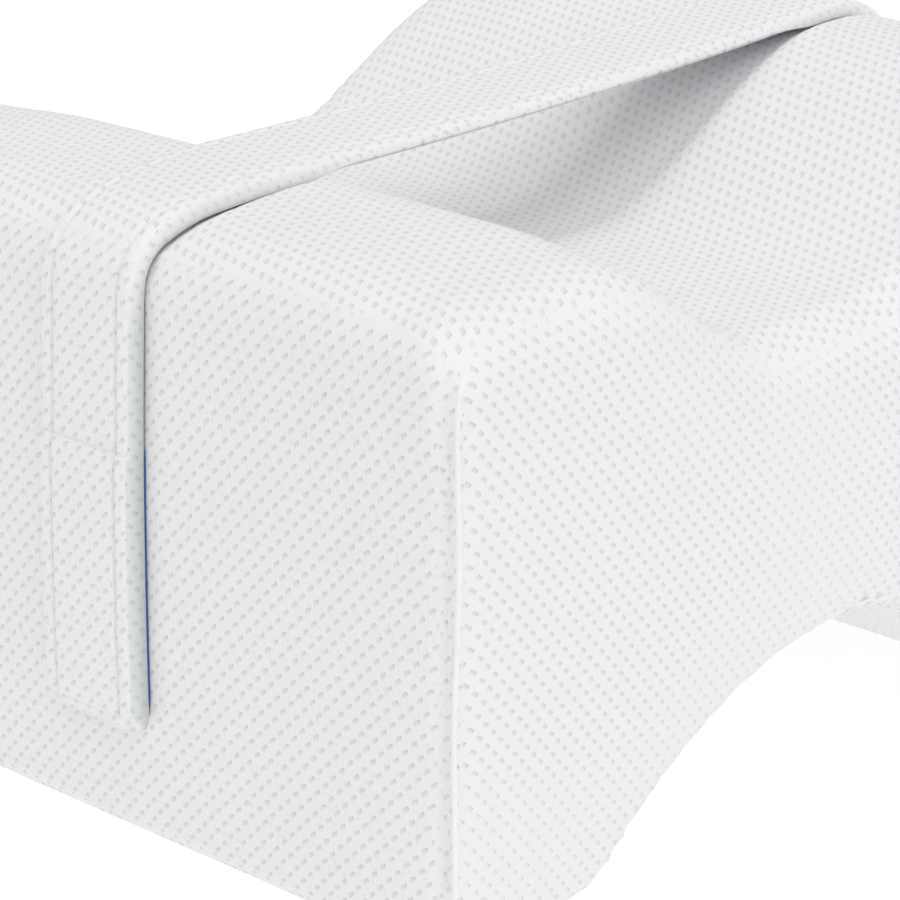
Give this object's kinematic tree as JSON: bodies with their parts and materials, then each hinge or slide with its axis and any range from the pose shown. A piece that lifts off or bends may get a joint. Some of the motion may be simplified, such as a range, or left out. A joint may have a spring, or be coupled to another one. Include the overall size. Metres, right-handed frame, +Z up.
{
  "type": "contoured knee pillow",
  "caption": "Contoured foam knee pillow in a dented white knit cover, with a channel on top, an arch below and a padded band across the channel.",
  "frame": {"origin": "on the surface the pillow stands on, under the middle of its length and depth", "axes": "+X from the left end to the right end along the band, +Y from the near face to the far face, +Z up"},
  "size_m": [0.272, 0.2078, 0.1417],
  "materials": {
    "pillow_knit": "white knit with a staggered lattice of small dents, matt",
    "strap_knit": "white knit with small dents, padded and stitched along both edges",
    "strap_lining": "blue woven lining, matt"
  },
  "bodies": {
    "root": {"pillow": "pillow_knit", "strap": "strap_knit", "strap_lining": "strap_lining"}
  },
  "joints": []
}
